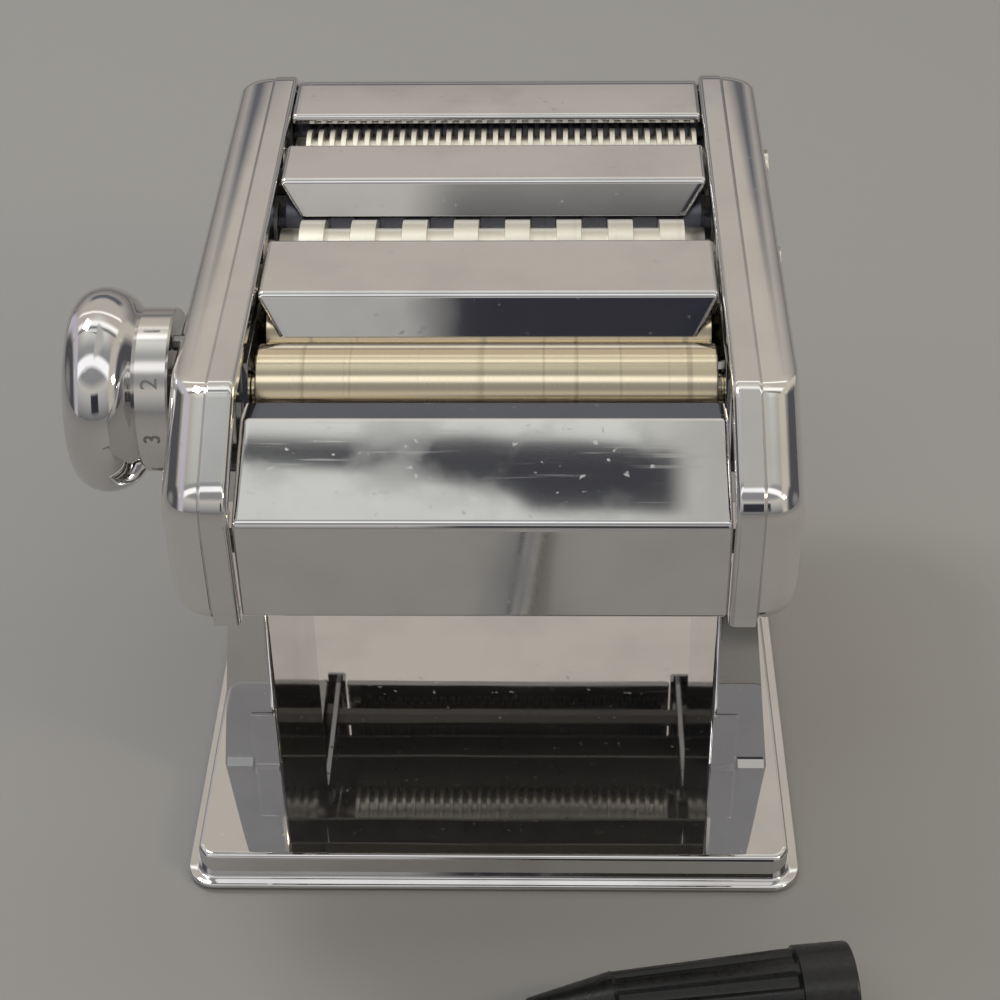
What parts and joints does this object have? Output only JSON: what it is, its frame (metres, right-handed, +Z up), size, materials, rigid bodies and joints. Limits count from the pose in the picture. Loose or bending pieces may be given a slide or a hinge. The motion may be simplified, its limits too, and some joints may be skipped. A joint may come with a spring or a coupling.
{
  "type": "pasta machine",
  "caption": "Hand cranked pasta machine: smooth rollers with a numbered thickness knob, wide and fine cutters, a chromed body on legs and a tray, and its loose crank.",
  "frame": {"origin": "middle of the four feet, on the table", "axes": "+X from the thickness knob to the crank sockets, +Y from the front to the back, +Z up"},
  "size_m": [0.1892, 0.3406, 0.1575],
  "materials": {
    "chrome_sheet": "bright chrome plated sheet",
    "roller_steel": "turned steel with fine marks round the roller",
    "cutter_steel": "turned steel, bright disc rims and darker grooves",
    "gear_steel": "plain steel",
    "inner_steel": "zinc plated steel",
    "bush_plastic": "white bearing plastic",
    "knob_chrome": "bright chrome",
    "foot_rubber": "matte black",
    "grip_plastic": "black plastic"
  },
  "bodies": {
    "frame": {"base_tray": "chrome_sheet", "leg_clips": "chrome_sheet", "side_frame_left": "chrome_sheet", "side_frame_right": "chrome_sheet", "side_rim_left": "chrome_sheet", "side_rim_right": "chrome_sheet", "side_cover_left": "chrome_sheet", "side_cover_right": "chrome_sheet", "front_panel": "chrome_sheet", "front_top_plate": "chrome_sheet", "middle_top_plate": "chrome_sheet", "rear_panel": "chrome_sheet", "rubber_feet": "foot_rubber", "roller_bushes": "bush_plastic", "adjuster_bracket": "inner_steel", "bracket_posts": "inner_steel", "locating_pin": "inner_steel", "rear_scraper": "inner_steel", "roller_cheeks": "inner_steel", "tie_rods": "inner_steel", "tie_nuts": "inner_steel", "wide_stripper_front": "inner_steel", "wide_stripper_rear": "inner_steel", "fine_stripper_front": "inner_steel", "fine_stripper_rear": "inner_steel", "crank_rod": "inner_steel", "crank_pin": "inner_steel"},
    "knob_spindle": {"scroll_cam": "inner_steel", "knob_shaft": "inner_steel", "knob_washer": "inner_steel", "knob_spring": "inner_steel"},
    "knob": {"number_ring": "knob_chrome", "knob_grip": "knob_chrome"},
    "carriage": {"carriage_plates": "inner_steel", "carriage_rod": "inner_steel", "front_scraper": "inner_steel", "cam_pin": "inner_steel"},
    "front_roller": {"smooth_roller_front": "roller_steel", "smooth_gear_front": "gear_steel"},
    "rear_roller": {"smooth_roller_rear": "roller_steel", "smooth_gear_rear": "gear_steel"},
    "wide_front": {"wide_cutter_front": "cutter_steel", "wide_gear_front": "gear_steel"},
    "wide_rear": {"wide_cutter_rear": "cutter_steel", "wide_gear_rear": "gear_steel"},
    "fine_front": {"fine_cutter_front": "cutter_steel", "fine_gear_front": "gear_steel"},
    "fine_rear": {"fine_cutter_rear": "cutter_steel", "fine_gear_rear": "gear_steel"},
    "crank_handle": {"crank_grip": "grip_plastic"}
  },
  "joints": [
    {"name": "knob_turn", "type": "hinge", "parent": "frame", "child": "knob_spindle", "pos_m": [0, -0.04, 0.1325], "axis": [-1, 0, 0], "range_deg": [0, 280]},
    {"name": "knob_pull", "type": "slide", "parent": "knob_spindle", "child": "knob", "axis": [-1, 0, 0], "range_m": [0, 0.003], "stiffness_N_per_m": 2000, "springref_m": -0.003},
    {"name": "carriage_slide", "type": "slide", "parent": "frame", "child": "carriage", "axis": [0, -1, 0], "range_m": [0, 0.0018]},
    {"name": "front_roller_turn", "type": "hinge", "parent": "carriage", "child": "front_roller", "pos_m": [0, -0.04, 0.1315], "axis": [1, 0, 0], "continuous": true},
    {"name": "smooth_drive", "type": "hinge", "parent": "frame", "child": "rear_roller", "pos_m": [0, -0.0157, 0.1315], "axis": [1, 0, 0], "continuous": true},
    {"name": "wide_drive", "type": "hinge", "parent": "frame", "child": "wide_front", "pos_m": [0, 0.0156, 0.1336], "axis": [1, 0, 0], "continuous": true},
    {"name": "wide_rear_turn", "type": "hinge", "parent": "frame", "child": "wide_rear", "pos_m": [0, 0.0376, 0.1336], "axis": [1, 0, 0], "continuous": true},
    {"name": "fine_drive", "type": "hinge", "parent": "frame", "child": "fine_front", "pos_m": [0, 0.062, 0.137], "axis": [1, 0, 0], "continuous": true},
    {"name": "fine_rear_turn", "type": "hinge", "parent": "frame", "child": "fine_rear", "pos_m": [0, 0.082, 0.137], "axis": [1, 0, 0], "continuous": true},
    {"name": "crank_grip_turn", "type": "hinge", "parent": "frame", "child": "crank_handle", "pos_m": [0.04899, -0.12796, 0.012], "axis": [0.9929, 0.1191, 0], "continuous": true}
  ],
  "couplings": [
    {"joint": "carriage_slide", "follows": "knob_turn", "m_per_rad": 0.00036833},
    {"joint": "front_roller_turn", "follows": "smooth_drive", "ratio": -1},
    {"joint": "wide_rear_turn", "follows": "wide_drive", "ratio": -1},
    {"joint": "fine_rear_turn", "follows": "fine_drive", "ratio": -1}
  ]
}
